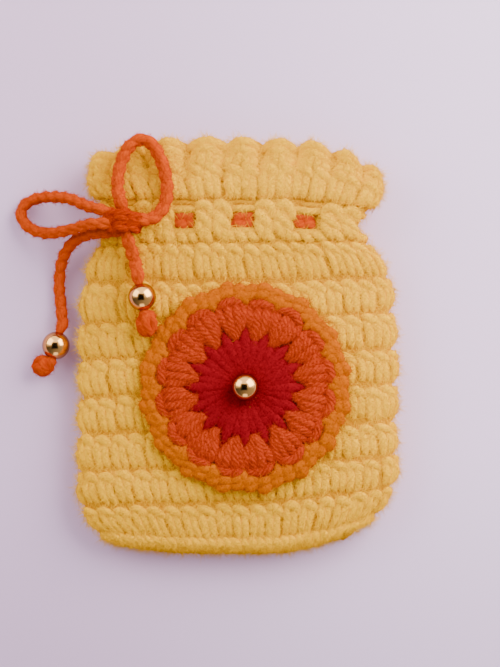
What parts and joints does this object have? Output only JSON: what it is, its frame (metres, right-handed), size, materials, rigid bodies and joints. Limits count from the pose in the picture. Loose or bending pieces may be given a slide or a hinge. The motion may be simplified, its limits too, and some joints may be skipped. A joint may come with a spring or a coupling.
{
  "type": "crochet drawstring pouch",
  "caption": "Small crocheted drawstring pouch lying on its back, with a frilled scalloped mouth, a corded bow with beads at the neck and a round crocheted motif on the front.",
  "frame": {"origin": "under the middle of the pouch without its loose cord, on the surface that its back lies on", "axes": "+X across the pouch to its right seen from the front, +Y from the base to the mouth, +Z from the back to the front"},
  "size_m": [0.1087, 0.1195, 0.0217],
  "materials": {
    "pale_yarn": "matt wool-like yarn",
    "cord_yarn": "matt wool-like yarn",
    "red_yarn": "matt wool-like yarn",
    "petal_yarn": "matt wool-like yarn",
    "border_yarn": "matt wool-like yarn",
    "gold_bead": "polished gold-coloured plating",
    "sewing_thread": "plain red sewing thread"
  },
  "bodies": {
    "root": {"pouch_body": "pale_yarn", "eyelet_round": "pale_yarn", "frill": "pale_yarn", "drawstring": "cord_yarn", "bow_knot": "cord_yarn", "bow_loop_up": "cord_yarn", "bow_loop_left": "cord_yarn", "tail_front": "cord_yarn", "tail_left": "cord_yarn", "tail_bead_front": "gold_bead", "tail_bead_left": "gold_bead", "end_knot_front": "cord_yarn", "end_knot_left": "cord_yarn", "motif_center": "red_yarn", "motif_petals": "petal_yarn", "motif_border": "border_yarn", "motif_bead": "gold_bead", "bead_thread": "sewing_thread"}
  },
  "joints": []
}
